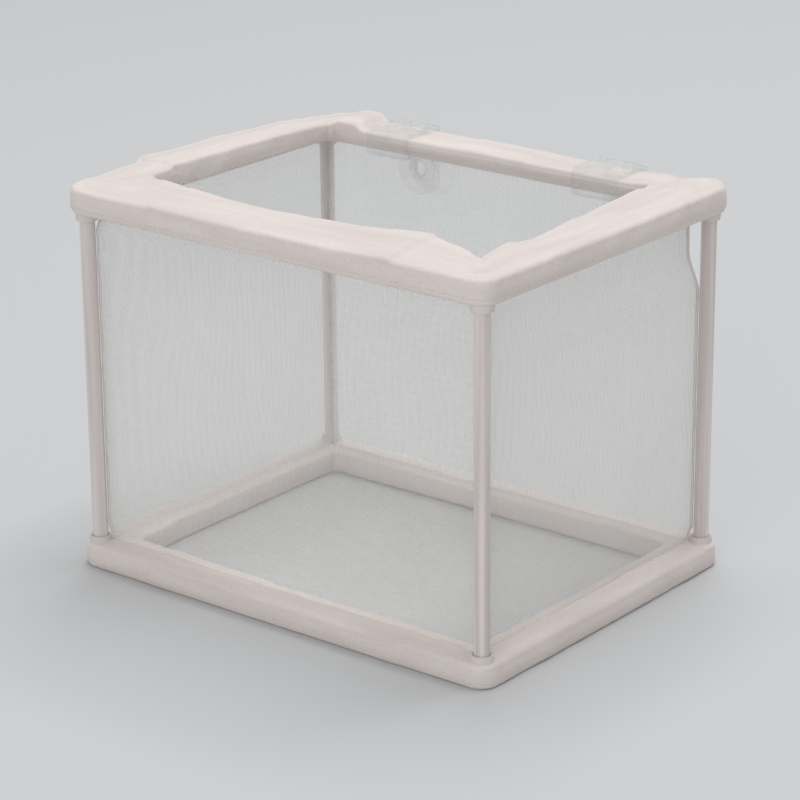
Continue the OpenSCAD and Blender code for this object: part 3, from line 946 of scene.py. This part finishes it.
def hang_nets(material, seams):
    """The four walls and the floor of the bag."""
    low, high = HEM_HEIGHT - WALL_TUCK_LOW, TOP_HEM_BASE + WALL_TUCK_HIGH
    height = high - low
    names = list(CORNERS)
    for k, (side, bow) in enumerate(zip(SIDES, WALL_BOWS)):
        turn = math.radians(90 * k)
        along = (math.cos(turn), math.sin(turn), 0)
        out = (math.sin(turn), -math.cos(turn), 0)
        run, reach = (HALF_X, HALF_Y) if side in ("front", "back") else (HALF_Y, HALF_X)
        width = 2 * (run - NET_INSET)
        origin = np.array(out) * (reach - NET_INSET) + (0, 0, low)
        fills = [lambda v, c=names[(k + end) % 4]: filled(c, low + v) for end in (0, 1)]
        shape = wall_shape(width, height, bow, BILLOW_SEED + k)
        piece = weave_net(
            "net_wall_" + side, origin, (along, (0, 0, 1), out), (width, height),
            shape, fills, NET_SEED + k, material, "net_" + side,
        )
    width = 2 * (HALF_X - BOTTOM_HEM_WIDTH) + 2 * FLOOR_TUCK
    depth = 2 * (HALF_Y - BOTTOM_HEM_WIDTH) + 2 * FLOOR_TUCK
    piece = weave_net(
        "net_floor_panel", (0, -depth / 2, FLOOR_HEIGHT), ((1, 0, 0), (0, 1, 0), (0, 0, 1)),
        (width, depth), flat_shape, (flat_shape, flat_shape), FLOOR_SEED, material, "net_floor",
    )


def sew_seam(corner, cloth):
    """A tape folded round one upright edge of the bag, outside the net."""
    x, y = CORNERS[corner]
    low, high = HEM_HEIGHT - TAPE_TUCK, TOP_HEM_BASE + WALL_TUCK_HIGH
    # The fold seen from above, from the end of one leg to the end of the other
    fold = [
        (TAPE_LEG, 0.0), (0.75, 0.02), (0.4, 0.0), (0.1, 0.1), (0.0, 0.4), (0.02, 0.75),
        (0.0, TAPE_LEG),
    ]
    middle = np.array(fold) - 0.2
    tangent = np.gradient(middle, axis=0)
    face = np.stack([tangent[:, 1], -tangent[:, 0]], 1)
    face /= np.linalg.norm(face, axis=1, keepdims=True)
    section = np.concatenate([middle + TAPE_SKIN * face, (middle - TAPE_SKIN * face)[::-1]])
    levels = spread(low, high, TAPE_PITCH)
    seed = SEAM_SEED + list(CORNERS).index(corner)
    loop = len(section)
    points = []
    for z in levels:
        slack = 0.03 * ripple(np.array(z), np.array(0.0), seed, 4, 7, 22)
        wide = 1 + 0.05 * ripple(np.array(z), np.array(0.0), seed + 7, 4, 3, 8)
        for sx, sy in section * wide - slack - filled(corner, z):
            place = (-x * sx + x * (HALF_X - NET_INSET), -y * sy + y * (HALF_Y - NET_INSET), z)
            points.append(place)
    i, j = np.meshgrid(np.arange(len(levels) - 1), np.arange(loop), indexing="ij")
    n = (j + 1) % loop
    here, above = i * loop, (i + 1) * loop
    quads = np.stack([here + j, here + n, above + n, above + j], -1).reshape(-1, 4)
    caps = []
    half = loop // 2
    for base in (0, (len(levels) - 1) * loop):
        for k in range(half - 1):
            cap = (base + k, base + k + 1, base + loop - 2 - k, base + loop - 1 - k)
            caps.append(cap if base else cap[::-1])
    quads = np.concatenate([quads, np.array(caps)])
    points = np.array(points)
    corners = points[quads]
    uv = np.stack([corners[..., 0] + corners[..., 1], corners[..., 2]], -1)
    piece = quad_piece("seam_tape_" + corner, points, quads, uv.reshape(-1, 2))
    recalculate(piece)
    smooth(piece, 60)
    return dress(piece, cloth, "seam_tape", "box", "seam_" + corner)


# ---------------------------------------------------------------- clips and cups

# Width of the rounding on a clip's edges
CLIP_EDGE = 0.35
# Depth of a cup from its neck to its rim, length of its neck, and its sides
CUP_DEPTH, NECK_LENGTH, CUP_SIDES = 5.6, 2.8, 72


def clean_copy(node, name):
    """A copy of a node's mesh with its corners merged."""
    piece = bpy.data.objects.new(name, frame["nodes"][node].data.copy())
    bpy.context.scene.collection.objects.link(piece)
    only(piece)
    bpy.ops.object.mode_set(mode="EDIT")
    bpy.ops.mesh.select_all(action="SELECT")
    bpy.ops.mesh.remove_doubles(threshold=0.00001)
    bpy.ops.mesh.dissolve_limited(angle_limit=math.radians(3))
    bpy.ops.object.mode_set(mode="OBJECT")
    return piece


def mould_clip(side, material):
    """The clip with the small rounded edges of a moulding."""
    piece = clean_copy("clip_" + side, "hanging_clip_" + side)
    add_modifier(
        piece, "BEVEL", width=CLIP_EDGE * MM, segments=3, limit_method="ANGLE",
        angle_limit=math.radians(35),
    )
    smooth(piece, 35)
    return dress(piece, material, "clear_plastic", f"clip_{side}_body", "clip_" + side)


def mould_cup(side, material):
    """A suction cup drawn out ring by ring from the back of its head."""
    low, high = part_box("suction_cup_" + side)
    centre = (low + high) / 2
    rim, back = high.y / MM, low.y / MM
    neck_end = rim - CUP_DEPTH
    head_end = neck_end - NECK_LENGTH
    # Radius and place along the cup's axis: head, neck, hub, the back of the skirt,
    # its rim and its hollow
    rings = [
        (1.6, back), (2.3, back + 0.35), (3.2, back + 1.2), (3.75, back + 1.9),
        (3.8, head_end - 0.35), (3.5, head_end), (2.75, head_end), (2.5, head_end + 0.25),
        (2.5, neck_end - 0.25), (2.8, neck_end), (4.2, neck_end), (4.5, neck_end + 0.3),
        (4.55, neck_end + 1.1), (4.9, neck_end + 1.6), (5.8, neck_end + 2.05),
        (7.2, neck_end + 2.75), (8.7, neck_end + 3.75), (9.9, neck_end + 4.75),
        (10.75, neck_end + 5.3), (11.0, rim - 0.12), (10.95, rim), (10.4, rim),
        (9.6, neck_end + 5.25), (7.9, neck_end + 4.15), (6.0, neck_end + 3.4),
        (3.5, neck_end + 2.95), (1.5, neck_end + 2.86),
    ]
    bpy.ops.object.select_all(action="DESELECT")
    bpy.ops.mesh.primitive_circle_add(
        vertices=CUP_SIDES, radius=rings[0][0] * MM, fill_type="TRIFAN",
        location=(centre.x, back * MM, centre.z), rotation=(math.radians(90), 0, 0),
    )
    piece = bpy.context.object
    piece.name = "cup_" + side
    bpy.ops.object.transform_apply(location=True, rotation=True, scale=True)
    bpy.ops.object.mode_set(mode="EDIT")
    for (radius, place), (wider, further) in zip(rings, rings[1:]):
        step = (0, (further - place) * MM, 0)
        bpy.ops.mesh.extrude_region_move(TRANSFORM_OT_translate={"value": step})
        bpy.ops.transform.resize(
            value=(wider / radius, 1, wider / radius),
            center_override=(centre.x, further * MM, centre.z),
        )
    bpy.ops.object.mode_set(mode="OBJECT")
    recalculate(piece)
    smooth(piece, 35)
    return dress(piece, material, "clear_rubber", f"cup_{side}_body", "suction_cup_" + side)


# ---------------------------------------------------------------- stage

FLOOR_SIZE = 12
FLOOR_SHADE = (0.60, 0.61, 0.62, 1)
STUDIO_SHADE, STUDIO_STRENGTH = (1.0, 1.0, 1.0, 1), 0.5
# Each lamp's place, what it points at, its size and its power
LAMPS = {
    "key": ((-0.05, 0.6, 2.1), (0, 0, 0.06), 1.4, 26.0),
    "fill": ((0.35, -1.25, 0.5), (0, 0, 0.05), 0.9, 4.3),
}


def set_stage():
    """A plain pale floor in a pale room, with two soft lamps."""
    bpy.ops.mesh.primitive_plane_add(size=FLOOR_SIZE, location=(0, 0, 0))
    floor = bpy.context.object
    floor.name = "floor"
    material, _, shader = new_material("floor_paint", Roughness=0.9, Specular_IOR_Level=0.1)
    shader.inputs["Base Color"].default_value = FLOOR_SHADE
    floor.data.materials.append(material)
    world = bpy.data.worlds.new("studio")
    bpy.context.scene.world = world
    world.use_nodes = True
    background = world.node_tree.nodes["Background"]
    background.inputs["Color"].default_value = STUDIO_SHADE
    background.inputs["Strength"].default_value = STUDIO_STRENGTH
    bpy.context.scene.view_settings.view_transform = "Standard"
    for name, (place, aim, size, power) in LAMPS.items():
        data = bpy.data.lights.new(name, "AREA")
        data.shape, data.size, data.energy = "SQUARE", size, power
        light = bpy.data.objects.new(name, data)
        bpy.context.scene.collection.objects.link(light)
        light.location = place
        way = Vector(aim) - Vector(place)
        light.rotation_euler = way.to_track_quat("-Z", "Y").to_euler()


# ---------------------------------------------------------------- assembly


def paint(node, material):
    """Puts a material on one of the frame's own meshes."""
    materials = frame["nodes"][node].data.materials
    materials.clear()
    materials.append(material)


set_camera()
cloth = binding_cloth("binding_cloth", *BINDING_SHADES)
tape = binding_cloth("tape_cloth", *TAPE_SHADES)
net, sewing = net_thread(), sewing_thread()
rod, moulded = rod_plastic(), moulded_plastic()
clip_clear = clear_moulding("clip_plastic", CLIP_TINT, 0.08, 0.08, 0.42, 0.006)
cup_clear = clear_moulding("cup_vinyl", CUP_TINT, 0.22, 0.05, 0.28, 0.00003)

top_hem = Hem(
    TOP_HEM_BASE, TOP_HEM_WIDTH, TOP_SWELL, TOP_SLEEVE_ENDS, TOP_INNER_ROUND, TOP_CREASE, TOP_SEED,
    TOP_RISE, TOP_MARKS,
)
bottom_hem = Hem(
    0.0, BOTTOM_HEM_WIDTH, BOTTOM_SWELL, BOTTOM_SLEEVE_ENDS, BOTTOM_INNER_ROUND, BOTTOM_CREASE,
    BOTTOM_SEED,
)
hems = (("top_hem", top_hem, TOP_HEM_WIDTH), ("bottom_hem", bottom_hem, BOTTOM_HEM_WIDTH))
for name, hem, wide in hems:
    piece = sew_hem(name, hem, cloth, [f"{name}_{side}" for side in SIDES])
    stitches = sew_stitches(name + "_stitches", hem, STITCHED_ROWS, sewing)

hang_nets(net, [sew_seam(corner, tape) for corner in CORNERS])
for level in ("top", "bottom"):
    for corner in CORNERS:
        paint(f"{level}_corner_{corner}", moulded)
    for side in SIDES:
        paint(f"{level}_rail_{side}", moulded)
for corner in CORNERS:
    paint("post_" + corner, rod)
for side in ("left", "right"):
    mould_clip(side, clip_clear)
    mould_cup(side, cup_clear)
set_stage()
